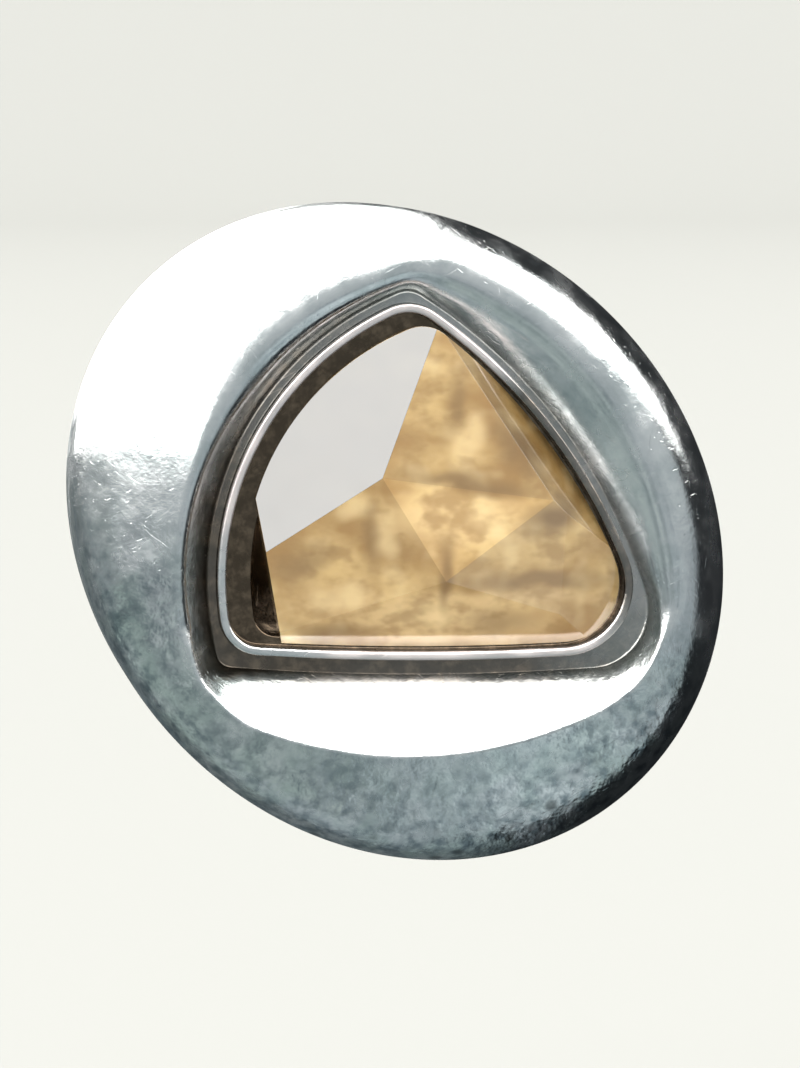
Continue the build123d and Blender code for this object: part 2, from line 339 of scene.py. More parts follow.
def seat_to_crest(way):
    rim = rim_distance(way)
    room = (dome_end(way) - MIDDLE).length - rim
    landing = rim + min(CREST_LANDING, LANDING_SHARE * room)
    corners = [
        (well.reach(way), BACK_PLATE), (well.reach(way), LEDGE_LEVEL),
        (opening.reach(way), LEDGE_LEVEL), (opening.reach(way), LIP_TOP),
        (lip_outside.reach(way), LIP_TOP), (lip_outside.reach(way), VALLEY_LEVEL),
        (valley.reach(way), VALLEY_LEVEL), (rim, dome_height(MIDDLE + way * rim)),
        (landing, dome_height(MIDDLE + way * landing)),
    ]
    return [Vector(corner) for corner in corners]


def with_rounded_bends(corners, bends):
    """The bent line again, each bend replaced by a small curve and each run cut into steps."""
    points, start = [corners[0]], corners[0]
    for corner, following, bend, steps in zip(corners[1:], corners[2:], bends, RUN_STEPS):
        back, ahead = start - corner, following - corner
        share_ahead = LAST_SHARE_AHEAD if following is corners[-1] else SHARE_AHEAD
        cut = bend / math.tan(back.angle(ahead) / 2)
        cut = min(cut, back.length * SHARE_BACK, ahead.length * share_ahead)
        bend_start, bend_end = corner + back.normalized() * cut, corner + ahead.normalized() * cut
        points += evenly(start, bend_start, steps)
        for share in evenly(0, 1, BEND_STEPS):
            points.append(bend_start.lerp(corner, share).lerp(corner.lerp(bend_end, share), share))
        start = bend_end
    return points + evenly(start, corners[-1], RUN_STEPS[-1])


# %% [markdown]
# ## From the crest to the back
# The rest of the slice goes over the dome and the shoulder, down the wall, round the small
# edge at the back and in to the solder round the post.

# %% The profile from the dome to the back
BACK_EDGE_ROUND = 0.12
SOLDER_ROUND, POST_RADIUS = 0.15, 0.40
DOME_STEPS, SHOULDER_STEPS, WALL_STEPS = 14, 16, 4


def crest_to_back(way, crest_end):
    """Places in the disc, as (x, y, height), from the crest over the shoulder to the back."""
    edge, outward = oval_edge(way)
    ball_centre, dome_way, wall_way = shoulder(way)
    places = []
    for place in evenly(crest_end, dome_end(way), DOME_STEPS)[:-1]:
        places.append((place.x, place.y, dome_height(place)))
    for step in range(SHOULDER_STEPS + 1):
        places.append(ball_centre + dome_way.slerp(wall_way, step / SHOULDER_STEPS) * SHOULDER_ROUND)
    for height in evenly(ball_centre.z, BACK_EDGE_ROUND, WALL_STEPS):
        places.append((edge.x, edge.y, height))
    back_start = edge - outward * BACK_EDGE_ROUND
    for swing, height in arc(0, BACK_EDGE_ROUND, BACK_EDGE_ROUND, 0, -90, BEND_STEPS):
        place = back_start + outward * swing
        places.append((place.x, place.y, height))
    for place in evenly(back_start, way * (POST_RADIUS + SOLDER_ROUND), BEND_STEPS):
        places.append((place.x, place.y, 0))
    return places


# %% [markdown]
# ## The post
# The post is a plain wire, soldered to the back with a small round of solder at its foot. A
# shallow groove near the end tells the clutch where to stop, and the tip is rounded so that
# it is easy to wear. All of it is round about one axis, so its profile is a list of radii.

# %% The profile of the post
POST_LENGTH, TIP_ROUND = 11.0, 0.30
GROOVE_DEPTH, GROOVE_ROUND, FREE_END = 0.12, 0.45, 2.40
POST_STEPS, GROOVE_STEPS, FREE_END_STEPS, TIP_STEPS = 8, 8, 3, 6
groove_half_width = math.sqrt(GROOVE_ROUND ** 2 - (GROOVE_ROUND - GROOVE_DEPTH) ** 2)
groove_middle = POST_LENGTH - FREE_END - groove_half_width


def post_profile():
    """Radii and distances behind the back, from the solder to the tip."""
    profile = arc(POST_RADIUS + SOLDER_ROUND, SOLDER_ROUND, SOLDER_ROUND, -90, -180, BEND_STEPS)
    for depth in evenly(SOLDER_ROUND, groove_middle - groove_half_width, POST_STEPS):
        profile.append((POST_RADIUS, depth))
    for offset in evenly(-groove_half_width, groove_half_width, GROOVE_STEPS)[:-1]:
        curve = math.sqrt(GROOVE_ROUND ** 2 - offset ** 2)
        profile.append((POST_RADIUS + GROOVE_ROUND - GROOVE_DEPTH - curve, groove_middle + offset))
    free_start, tip_start = groove_middle + groove_half_width, POST_LENGTH - TIP_ROUND
    for depth in [free_start] + evenly(free_start, tip_start, FREE_END_STEPS):
        profile.append((POST_RADIUS, depth))
    return profile + arc(POST_RADIUS - TIP_ROUND, tip_start, TIP_ROUND, 0, 90, TIP_STEPS)


# %% [markdown]
# ## Drawing a surface ring by ring
# A subdivision surface would let the crests drift away from their sizes. Instead one ring of
# points is extruded again and again, and each new ring is moved to the next line of the
# profile, as a thrower draws up a pot. Every point carries the number of its ray, and
# extruding copies that number, so each point knows where it belongs on the next ring.

# %% Extrude a shell from its rings
def extruded_shell(name, rings):
    select_nothing()
    bpy.ops.mesh.primitive_circle_add(vertices=len(rings[0]), radius=1, fill_type="NOTHING")
    piece = bpy.context.object
    piece.name = piece.data.name = name
    numbers = piece.data.attributes.new("ray", "INT", "POINT")
    for number, vertex in enumerate(piece.data.vertices):
        vertex.co = rings[0][number]
        numbers.data[number].value = number
    bpy.ops.object.mode_set(mode="EDIT")
    bpy.ops.mesh.select_all(action="SELECT")
    for ring in rings[1:]:
        bpy.ops.mesh.extrude_edges_move()
        shell = bmesh.from_edit_mesh(piece.data)
        layer = shell.verts.layers.int["ray"]
        for vertex in shell.verts:
            if vertex.select:
                vertex.co = ring[vertex[layer]]
        bmesh.update_edit_mesh(piece.data)
    return piece


def finish_shell(piece):
    leave_edit_mode()
    piece.data.attributes.remove(piece.data.attributes["ray"])
    bpy.ops.object.shade_smooth()


# %% [markdown]
# ## The setting
# Now the slices are lined up side by side. There are 360 rays, one for each degree, so that
# the flat pieces are too narrow to be seen. The first ring, at the floor of the seat, is
# filled with one face, and the last ring, at the tip of the post, is merged into one point,
# so the shell is closed.

# %% Model the setting
RAYS = 360


def setting_rings():
    columns = []
    for way in ways_round(RAYS):
        slice_points = with_rounded_bends(seat_to_crest(way), BENDS + [crest_round(way)])
        column = []
        for distance, height in slice_points:
            place = MIDDLE + way * distance
            column.append(stood_up(place.x, place.y, height))
        crest_end = MIDDLE + way * slice_points[-1].x
        column += [stood_up(*place) for place in crest_to_back(way, crest_end)]
        column += [stood_up(way.x * radius, way.y * radius, -depth) for radius, depth in post_profile()]
        columns.append(column)
    return [list(ring) for ring in zip(*columns)]


setting = extruded_shell("silver_setting", setting_rings())
bpy.ops.mesh.merge(type="CENTER")
bpy.ops.mesh.select_all(action="DESELECT")
bpy.ops.mesh.select_non_manifold(
    extend=False, use_wire=False, use_multi_face=False, use_non_contiguous=False,
)
bpy.ops.mesh.edge_face_add()
finish_shell(setting)

# %% [markdown]
# ## Tarnish, painted shade and wear
# The valley and the seat are darkened, partly as tarnish where a polishing wheel can't reach
# and partly as painted shade, most on the left and along the base, where shade falls. The lip's
# top is rubbed and carries a painted highlight, which is left off along the right side, where the lip gets
# painted shade, and at the left corner. The lower rim of the face knocks against things, so it
# is tinted and specked. Directions are degrees, from the right round by the top, and a sector
# is its start, its end and its two fades.

# %% Name the shaded, tarnished and worn places
# Painted shade with tarnish in the valley, by direction: darkest on the left and along the base.
VALLEY_PAINTED_SHADES = [
    (0, 0.55), (50, 0.60), (75, 0.45), (95, 0.40), (110, 0.60), (150, 0.78), (175, 0.90),
    (228, 0.94), (245, 0.90), (305, 0.88), (325, 0.60), (345, 0.50), (360, 0.55),
]
HOLLOW_HEIGHT, HOLLOW_MARGIN, WALL_MARGIN = 0.20, 0.25, 0.005
# The lip's right side is painted in shade and gets no painted highlight.
SHADED_RIGHT_SIDE, RIGHT_LIP_PAINTED_SHADE = (-34, 70, 16, 14), 0.80
RUBBED_DEPTH, RUBBED_FADE, LIP_MARGIN = 0.07, 0.03, 0.02
# The lip's left corner gets little painted highlight, as shade falls there.
SHADED_LEFT_CORNER, LEFT_CORNER_SHADE = (176, 232, 14, 10), 0.85
WORN_SECTOR, WEAR_START, WEAR_FADE = (170, 345, 22, 22), 1.6, 1.6
FRONT_LEVEL = 0.1


def turn_of(way):
    return math.degrees(math.atan2(way.y, way.x)) % 360


def sector_share(way, sector):
    """1 within a sector of directions and 0 outside it, with a fade at either end."""
    start, end, fade_in, fade_out = sector
    past = (turn_of(way) - start) % 360
    return min(between_0_and_1(past / fade_in), between_0_and_1((end - start - past) / fade_out))


def valley_painted_shade(turn):
    """How much tarnish and painted shade the valley gets in a direction, read between the list's rows."""
    for (start, first), (end, second) in zip(VALLEY_PAINTED_SHADES, VALLEY_PAINTED_SHADES[1:]):
        if turn <= end:
            return first + (second - first) * (turn - start) / (end - start)


# %% [markdown]
# ## Painting the tarnish, shade, highlight and wear
# The tarnish and painted shade in the hollows, the rubbed lip with its painted highlight, and
# the worn rim are painted on the mesh as attributes from 0 to 1, which the silver's material
# reads.

# %% Paint the setting
# Tarnish and painted shade, darkest low in the valley and in the seat.
def tarnish_and_shade_amount(way, distance, height):
    if distance > valley.reach(way) + HOLLOW_MARGIN:
        return 0.0
    depth = between_0_and_1((VALLEY_LEVEL + HOLLOW_HEIGHT - height) / HOLLOW_HEIGHT)
    if distance > lip_outside.reach(way) - WALL_MARGIN:
        return depth * valley_painted_shade(turn_of(way))
    # Painted shade on the lip's right side.
    if height > VALLEY_LEVEL:
        return max(depth, sector_share(way, SHADED_RIGHT_SIDE) * RIGHT_LIP_PAINTED_SHADE)
    return depth


# The rubbed top of the lip, painted brighter as a highlight.
def rubbed_highlight_amount(way, distance, height):
    if not opening.reach(way) - LIP_MARGIN < distance < lip_outside.reach(way) + LIP_MARGIN:
        return 0.0
    top = between_0_and_1((height - LIP_TOP + RUBBED_DEPTH) / RUBBED_FADE)
    corner_shade = LEFT_CORNER_SHADE * sector_share(way, SHADED_LEFT_CORNER)
    return top * (1 - sector_share(way, SHADED_RIGHT_SIDE)) * (1 - corner_shade)


def wear_amount(place):
    return sector_share(place, WORN_SECTOR) * between_0_and_1((place.length - WEAR_START) / WEAR_FADE)


def paint_setting(piece):
    amounts = {"tarnish_and_shade": [], "rubbed_highlight": [], "worn_rim": []}
    for vertex in piece.data.vertices:
        place, height = Vector((vertex.co.x, vertex.co.z)), -vertex.co.y
        way, distance = (place - MIDDLE).normalized(), (place - MIDDLE).length
        on_the_front = height > FRONT_LEVEL
        amounts["tarnish_and_shade"].append(tarnish_and_shade_amount(way, distance, height) if on_the_front else 0.0)
        amounts["rubbed_highlight"].append(rubbed_highlight_amount(way, distance, height) if on_the_front else 0.0)
        amounts["worn_rim"].append(wear_amount(place))
    for name, values in amounts.items():
        piece.data.attributes.new(name, "FLOAT", "POINT").data.foreach_set("value", values)


paint_setting(setting)
shrink_to_real_size(setting)

# %% [markdown]
# ## The cut stone
# A lapidary starts from a rough slice and grinds one flat facet after another. Here the
# table has three corners, one to each side facet. A corner facet starts at the edge between
# two of them, and its last value is its height at the stone's edge, as a share of the
# crown's.

# %% Name the facets
CULET_LEVEL, GIRDLE_BOTTOM, GIRDLE_TOP, TABLE_LEVEL = 0.91, 1.34, 1.44, 1.82
CROWN_HEIGHT = TABLE_LEVEL - GIRDLE_TOP
TABLE_CORNERS = {
    "left": Vector((-0.24, 0.60)),
    "right": Vector((1.49, 0.37)),
    "base": Vector((0.40, -0.44)),
}
CORNER_FACETS = [
    ("apex", "left", "right", 0.80),
    ("left", "base", "left", 0.12),
    ("right", "right", "base", 0.28),
]
TIPPED_CORNER, CORNER_TIP_SHARE = "right", 0.86
PAVILION_SIDE_SHARE, PAVILION_CORNER_SHARE = 0.45, 0.40
BLUNT_CORNER_CUT, BLUNT_CORNER_TURN = 0.30, math.radians(10)
STONE_RAYS = 240

outline_points = [MIDDLE + way * stone_outline.reach(way) for way in ways_round(STONE_RAYS)]


def reach_towards(way):
    return max((point - MIDDLE).dot(way) for point in outline_points)


def side_way(name):
    start, end = SIDES[name]
    along = CORNERS[end] - CORNERS[start]
    return Vector((along.y, -along.x)).normalized()


def corner_way(name):
    return (CORNERS[name] - MIDDLE).normalized()


# %% [markdown]
# ## A plane for every facet
# Each facet is cut by a plane, written as a point on it and its outward direction. The planes
# of the crown fall from the table to the girdle, and those of the pavilion rise to the girdle
# from below. The last plane cuts the left corner blunt.

# %% The facet planes
def sloping_plane(way, low_reach, low_height, high_reach, high_height):
    """A plane that falls outwards, as a point on it and its outward direction."""
    point = MIDDLE + way * high_reach
    rise, run = high_height - low_height, low_reach - high_reach
    return (point.x, point.y, high_height), (way.x * rise, way.y * rise, run)


def facet_planes():
    planes = [((0, 0, TABLE_LEVEL), (0, 0, 1))]
    for name in SIDES:
        way = side_way(name)
        table_reach = (TABLE_CORNERS[name] - MIDDLE).dot(way)
        planes.append(sloping_plane(way, reach_towards(way), GIRDLE_TOP, table_reach, TABLE_LEVEL))
    for name, first, second, height_share in CORNER_FACETS:
        along = (TABLE_CORNERS[second] - TABLE_CORNERS[first]).normalized()
        way = Vector((-along.y, along.x))
        table_reach = (TABLE_CORNERS[first] - MIDDLE).dot(way)
        low = GIRDLE_TOP + CROWN_HEIGHT * height_share
        planes.append(sloping_plane(way, reach_towards(way), low, table_reach, TABLE_LEVEL))
        if name == TIPPED_CORNER:
            way = corner_way(name)
            tip_reach = reach_towards(way)
            planes.append(sloping_plane(way, tip_reach, GIRDLE_TOP, tip_reach * CORNER_TIP_SHARE, low))
    ways = [(side_way(name), PAVILION_SIDE_SHARE) for name in SIDES]
    ways += [(corner_way(name), PAVILION_CORNER_SHARE) for name in CORNERS]
    for way, share in ways:
        reach = reach_towards(way)
        point = MIDDLE + way * reach
        drop, run = GIRDLE_BOTTOM - CULET_LEVEL, reach * (1 - share)
        planes.append(((point.x, point.y, GIRDLE_BOTTOM), (way.x * drop, way.y * drop, -run)))
    blunt_way = Vector((-math.cos(BLUNT_CORNER_TURN), -math.sin(BLUNT_CORNER_TURN)))
    point = MIDDLE + blunt_way * (reach_towards(blunt_way) - BLUNT_CORNER_CUT)
    planes.append(((point.x, point.y, 0), (blunt_way.x, blunt_way.y, 0)))
    return planes


# %% [markdown]
# ## Grinding the stone
# The blank is a ring of points on the stone's outline, filled and extruded. Bisect with fill
# does what the grinding wheel does: it takes away what is outside a plane and leaves a flat
# face. A very small bevel then takes the knife edge off each facet, which gives the thin
# bright lines that a cut stone shows.

# %% Model the stone
FACET_EDGE, BLANK_SPARE = 0.009, 0.3

select_nothing()
bpy.ops.mesh.primitive_circle_add(vertices=STONE_RAYS, radius=1, fill_type="NOTHING")
stone = bpy.context.object
stone.name = stone.data.name = "cut_stone"
for vertex, point in zip(stone.data.vertices, outline_points):
    vertex.co = stood_up(point.x, point.y, CULET_LEVEL)
bpy.ops.object.mode_set(mode="EDIT")
bpy.ops.mesh.select_all(action="SELECT")
bpy.ops.mesh.edge_face_add()
blank_height = stood_up(0, 0, TABLE_LEVEL + BLANK_SPARE - CULET_LEVEL)
bpy.ops.mesh.extrude_region_move(TRANSFORM_OT_translate={"value": tuple(blank_height)})
bpy.ops.mesh.select_all(action="SELECT")
bpy.ops.mesh.normals_make_consistent(inside=False)
for point, outward in facet_planes():
    bpy.ops.mesh.select_all(action="SELECT")
    bpy.ops.mesh.bisect(
        plane_co=stood_up(*point), plane_no=stood_up(*outward).normalized(),
        use_fill=True, clear_outer=True, threshold=0.00001,
    )
bpy.ops.mesh.select_all(action="SELECT")
bpy.ops.mesh.remove_doubles(threshold=0.0005)
leave_edit_mode()
bevel = stone.modifiers.new("facet edges", "BEVEL")
bevel.width = FACET_EDGE
bevel.segments = 2
bevel.limit_method = "ANGLE"
bevel.angle_limit = math.radians(6)
bpy.ops.object.modifier_apply(modifier=bevel.name)
bpy.ops.object.shade_flat()

# %% [markdown]
# ## The light inside the stone
# In a cut stone each facet looks into the stone at its own angle, so one shows light that
# comes back from the underside and the next shows darkness. The large left facet looks into
# the dark, which is why its own reflection stands out. Each face gets its share of the inner
# light as an attribute, by the direction that it faces.

# %% Paint the inner light
TABLE_LIGHT, GIRDLE_LIGHT, CORNER_LIGHT = 1.10, 0.30, 0.92
SIDE_LIGHTS = {"left": 0.06, "right": 0.60, "base": 1.20}
GIRDLE_SLOPE, TABLE_LEAN, SIDE_LEAN, SIDE_MATCH = 0.3, 0.03, 0.15, 0.985


def light_of(normal):
    lean = Vector((normal.x, normal.z))
    if -normal.y < GIRDLE_SLOPE:
        return GIRDLE_LIGHT
    if lean.length < TABLE_LEAN:
        return TABLE_LIGHT
    for name, light in SIDE_LIGHTS.items():
        if lean.length > SIDE_LEAN and lean.normalized().dot(side_way(name)) > SIDE_MATCH:
            return light
    return CORNER_LIGHT


inner_light = stone.data.attributes.new("inner_light", "FLOAT", "FACE")
for face in stone.data.polygons:
    inner_light.data[face.index].value = light_of(face.normal)
shrink_to_real_size(stone)

# %% [markdown]
# ## The clutch
# The clutch is turned on a lathe: a round pad that faces the setting, and a barrel with
# a hole for the post. Its shell is drawn ring by ring too, out over the pad, along the barrel
# and back through the hole, where the last ring is merged with the first.

# %% Model the clutch
CLUTCH_GAP = 4.80
PAD_RADIUS, PAD_THICKNESS, PAD_ROUND = 2.20, 0.50, 0.18
BARREL_RADIUS, BARREL_LENGTH, BARREL_ROUND, BARREL_FILLET = 1.20, 2.30, 0.45, 0.25
BORE_RADIUS, BORE_CHAMFER = 0.43, 0.10
PAD_RING, CLUTCH_RAYS = 1.32, 160
clutch_end = PAD_THICKNESS + BARREL_LENGTH
clutch_profile = [
    (BORE_RADIUS, BORE_CHAMFER), (BORE_RADIUS + BORE_CHAMFER, 0), (PAD_RING, 0), (PAD_RADIUS - PAD_ROUND, 0),
    *arc(PAD_RADIUS - PAD_ROUND, PAD_ROUND, PAD_ROUND, -90, 0), (PAD_RADIUS, PAD_THICKNESS - PAD_ROUND),
    *arc(PAD_RADIUS - PAD_ROUND, PAD_THICKNESS - PAD_ROUND, PAD_ROUND, 0, 90),
    (BARREL_RADIUS + BARREL_FILLET, PAD_THICKNESS),
    *arc(BARREL_RADIUS + BARREL_FILLET, PAD_THICKNESS + BARREL_FILLET, BARREL_FILLET, -90, -180),
    (BARREL_RADIUS, clutch_end - BARREL_ROUND),
    *arc(BARREL_RADIUS - BARREL_ROUND, clutch_end - BARREL_ROUND, BARREL_ROUND, 0, 90),
    (BORE_RADIUS + BORE_CHAMFER, clutch_end), (BORE_RADIUS, clutch_end - BORE_CHAMFER),
    (BORE_RADIUS, clutch_end / 2), (BORE_RADIUS, BORE_CHAMFER),
]


def turned_ring(radius, depth):
    ways = ways_round(CLUTCH_RAYS)
    return [stood_up(way.x * radius, way.y * radius, -CLUTCH_GAP - depth) for way in ways]


clutch = extruded_shell("silver_clutch", [turned_ring(*point) for point in clutch_profile])
bpy.ops.mesh.select_all(action="SELECT")
bpy.ops.mesh.remove_doubles(threshold=0.001)
finish_shell(clutch)
select_only(clutch)
bpy.ops.object.shade_smooth_by_angle(angle=math.radians(35))
shrink_to_real_size(clutch)

# %% [markdown]
# ## A few words on nodes
# Each material is a small network of nodes. `Nodes` keeps the wiring readable: `add` makes a
# node, sets its values and links its sockets in one line, and `first` gives that node's first
# output. All patterns start from the Object coordinates, which are metres, so a Mapping node
# enlarges them a thousand times, and one unit of a pattern is one millimetre.

# %% A helper for materials
class Nodes:
    def __init__(self, tree):
        self.tree = tree
        tree.nodes.clear()

    def add(self, kind, settings=None, **sockets):
        node = self.tree.nodes.new(kind)
        for name, value in (settings or {}).items():
            setattr(node, name, value)
        for name, value in sockets.items():
            numbered = name[0] == "i" and name[1:].isdigit()
            socket = node.inputs[int(name[1:]) if numbered else name.replace("_", " ")]
            if isinstance(value, bpy.types.NodeSocket):
                self.tree.links.new(value, socket)
            else:
                socket.default_value = value
        return node

    def first(self, kind, settings=None, **sockets):
        return self.add(kind, settings, **sockets).outputs[0]

    def noise(self, where, scale, detail=2.0, roughness=0.5):
        parts = {"Scale": scale, "Detail": detail, "Roughness": roughness}
        return self.first("ShaderNodeTexNoise", Vector=where, **parts)

    def ramp(self, value, low, high, new_low=0.0, new_high=1.0):
        return self.first(
            "ShaderNodeMapRange", {"interpolation_type": "SMOOTHSTEP"}, Value=value,
            From_Min=low, From_Max=high, To_Min=new_low, To_Max=new_high,
        )

    def math(self, operation, first, second=0.0):
        return self.first("ShaderNodeMath", {"operation": operation}, i0=first, i1=second)

    def product(self, value, *others):
        for other in others:
            value = self.math("MULTIPLY", value, other)
        return value

    def plus(self, value, other, weight):
        return self.math("ADD", value, self.product(other, weight))

    def blend(self, share, first, second):
        node = self.add("ShaderNodeMix", {"data_type": "RGBA"}, i0=share, i6=first, i7=second)
        return node.outputs[2]

    def layered(self, colour, layers):
        """Lay colours over a first one, each by its own share."""
        for share, upper in layers:
            colour = self.blend(share, colour, upper)
        return colour

    def attribute(self, name):
        return self.add("ShaderNodeAttribute", {"attribute_name": name}).outputs["Fac"]

    def surface(self, **sockets):
        """The main shader, wired to the material's output."""
        shader = self.first("ShaderNodeBsdfPrincipled", **sockets)
        self.add("ShaderNodeOutputMaterial", Surface=shader)

    def millimetres(self, turn=(0, 0, 0), stretch=(1, 1, 1)):
        place = self.add("ShaderNodeTexCoord").outputs["Object"]
        scale = tuple(1000 * part for part in stretch)
        return self.first("ShaderNodeMapping", Vector=place, Rotation=turn, Scale=scale)


def new_material(name):
    material = bpy.data.materials.new(name)
    material.use_nodes = True
    return material, Nodes(material.node_tree)


# %% [markdown]
# ## Worn polished silver
# The silver was polished once and has been worn since. Up close its mirror is broken by a
# fine grain, by hairline scratches in every direction, and by a slow hand-made unevenness.
# Bump carries all three, and the dents are several times deeper on the worn rim.

# %% Scratch and dent the silver
FIRST_HAIRS, MORE_HAIRS = (0.0, 0.5, 0.0), [(0.2, 1.5, 0.1), (0.1, -0.6, 0.2), (0.3, 2.4, 0.0)]
WORN_DENT_GAIN, DENTS_TO_GRAIN = 6.5, 1.6


def hairlines(nodes, turn, scale, threshold):
    """Thin lines that all lie one way: the pattern is turned first and stretched after."""
    stretched = nodes.first("ShaderNodeMapping", Vector=nodes.millimetres(turn), Scale=(0.7, 16.0, 16.0))
    return nodes.ramp(nodes.noise(stretched, scale, 2.0, 0.6), threshold, threshold + 0.06)


def silver_relief(nodes, place, worn_rim, grain, scratch, wave):
    hairs = hairlines(nodes, FIRST_HAIRS, 1.1, 0.66)
    for turn in MORE_HAIRS:
        hairs = nodes.math("MAXIMUM", hairs, hairlines(nodes, turn, 1.3, 0.67))
    dents = nodes.product(nodes.noise(place, 4.0, 3.0, 0.6), nodes.plus(1.0, worn_rim, WORN_DENT_GAIN))
    height = nodes.product(nodes.noise(place, 14.0, 5.0, 0.65), grain)
    for relief, depth in [
        (dents, grain * DENTS_TO_GRAIN), (nodes.noise(place, 0.9, 1.0), wave), (hairs, -scratch),
    ]:
        height = nodes.plus(height, relief, depth)
    return nodes.first("ShaderNodeBump", Strength=1.0, Distance=MILLIMETRE, Height=height)


# %% [markdown]
# ## The colours of the silver
# The colour is laid in layers: faint clouds, then greenish tints, dark specks and a few pits
# on the worn rim, the rubbed top of the lip with its painted highlight, and last the brown
# tarnish and painted shade in the hollows. The roughness is cloudy, so that reflections are
# crisp in one place and soft in the next.

# %% Make the silver
BRIGHT_SILVER, CLOUDED_SILVER = (0.95, 0.96, 0.96, 1), (0.76, 0.80, 0.80, 1)
GREENISH_WEAR, DARK_SPECK, DARK_PIT = (0.60, 0.73, 0.66, 1), (0.26, 0.32, 0.35, 1), (0.05, 0.06, 0.06, 1)
# Rubbed silver, brighter and pinker as a painted highlight on the lip.
RUBBED_HIGHLIGHT_SILVER = (1.0, 0.90, 0.87, 1)
# Brown tarnish, which also stands for painted shade in the hollows.
DARK_TARNISH_AND_SHADE, LIGHT_TARNISH_AND_SHADE = (0.105, 0.074, 0.047, 1), (0.25, 0.18, 0.12, 1)


def silver_colour(nodes, place, worn_rim, tarnish_and_shade, rubbed_highlight):
    clouds = nodes.ramp(nodes.noise(place, 1.7, 4.0, 0.65), 0.38, 0.68)
    tints = nodes.ramp(nodes.noise(nodes.millimetres((0.4, 0.3, 0.9)), 2.4, 2.0, 0.5), 0.36, 0.66)
    specks = nodes.ramp(nodes.noise(place, 7.5, 2.0, 0.5), 0.36, 0.74)
    cells = nodes.first("ShaderNodeTexVoronoi", Vector=place, Scale=2.7, Randomness=1.0)
    pits = nodes.product(nodes.ramp(cells, 0.26, 0.08), nodes.ramp(worn_rim, 0.80, 0.97))
    stains = nodes.ramp(nodes.noise(place, 7.0, 4.0, 0.65), 0.40, 0.72)
    return nodes.layered(BRIGHT_SILVER, [
        (clouds, CLOUDED_SILVER),
        (nodes.product(tints, worn_rim, 0.55), GREENISH_WEAR),
        (nodes.product(specks, worn_rim, 0.90), DARK_SPECK),
        (nodes.product(pits, 0.65), DARK_PIT),
        # the rubbed top of the lip, with its painted highlight
        (rubbed_highlight, RUBBED_HIGHLIGHT_SILVER),
        # tarnish and painted shade in the hollows
        (nodes.product(tarnish_and_shade, 0.98), nodes.blend(stains, DARK_TARNISH_AND_SHADE, LIGHT_TARNISH_AND_SHADE)),
    ])


def worn_silver(name, grain, scratch, wave):
    material, nodes = new_material(name)
    place = nodes.millimetres()
    worn_rim, tarnish_and_shade, rubbed_highlight = (nodes.attribute(layer) for layer in ("worn_rim", "tarnish_and_shade", "rubbed_highlight"))
    clouded = nodes.ramp(nodes.noise(place, 2.6, 3.0, 0.6), 0.30, 0.72, 0.14, 0.30)
    nodes.surface(
        Base_Color=silver_colour(nodes, place, worn_rim, tarnish_and_shade, rubbed_highlight), Metallic=1.0,
        Roughness=nodes.plus(clouded, rubbed_highlight, 0.22),
        Normal=silver_relief(nodes, place, worn_rim, grain, scratch, wave),
    )
    return material


face_silver = worn_silver("worn silver", grain=0.0023, scratch=0.0008, wave=0.018)
clutch_silver = worn_silver("brushed clutch silver", grain=0.0030, scratch=0.0016, wave=0.010)
setting.data.materials.append(face_silver)
clutch.data.materials.append(clutch_silver)

# %% [markdown]
# ## The honey coloured stone
# The stone is half clear. Through its table one sees honey patches, cream patches of painted
# light that comes back from the underside, and brown veils that are partly the stone's own and
# partly painted shade where two facets of the underside meet. Real light goes a little way in
# and comes out again, so the shader has some subsurface scattering under a hard polish, and a
# high index of refraction makes the facet that catches the card flash white. Each patch and
# veil is a soft oval, written as its middle, its half sizes, its turn in degrees and its
# strength. A Mapping node moves, turns and stretches the place, and its length is the distance
# from the oval's middle.

# %% Place the painted light and the veils
# Brown veils, partly the stone's own and partly painted shade where facets of the underside meet.
BROWN_VEILS_AND_SHADE = [
    ((0.66, 0.57), (0.66, 0.10), -7, 0.80),
    ((1.50, 0.24), (0.34, 0.20), 20, 0.95),
    ((0.42, -0.40), (0.10, 0.36), 0, 0.85),
    ((-0.33, 0.00), (0.09, 0.45), 4, 0.50),
    ((1.35, -0.44), (0.80, 0.09), 0, 0.65),
    ((0.92, -0.87), (0.36, 0.13), 5, 0.60),
    ((-0.72, -0.97), (0.45, 0.11), -3, 0.70),
    ((-0.95, -0.25), (0.30, 0.16), 30, 0.60),
    ((0.50, 1.30), (0.11, 0.40), -22, 0.60),
    ((1.12, 0.92), (0.20, 0.40), 38, 0.75),
]
# Cream patches of painted light that comes back from the underside.
PAINTED_LIGHT_PATCHES = [
    ((0.55, 0.18), (0.75, 0.34), 0, 0.85),
    ((0.80, -0.64), (1.30, 0.11), 2, 0.75),
    ((0.25, -1.00), (0.55, 0.09), 0, 0.80),
    ((0.35, -0.85), (1.25, 0.20), 0, 0.90),
    ((0.62, 0.95), (0.20, 0.28), -15, 0.55),
    ((-0.70, -0.62), (0.35, 0.14), 10, 0.45),
]
PATCH_DEPTH, PATCH_EDGE, PATCH_CORE = 1000, 1.5, 0.15


# A soft oval mask, used for the cream painted light and for the brown veils with their painted shade.
def soft_patch(nodes, place, middle, size, turn, strength):
    spot = nodes.first(
        "ShaderNodeMapping", {"vector_type": "TEXTURE"}, Vector=place, Location=(middle[0], 0, middle[1]),
        Rotation=(0, -math.radians(turn), 0), Scale=(size[0], PATCH_DEPTH, size[1]),
    )
    distance = nodes.add("ShaderNodeVectorMath", {"operation": "LENGTH"}, Vector=spot)
    return nodes.ramp(distance.outputs["Value"], PATCH_EDGE, PATCH_CORE, 0.0, strength)


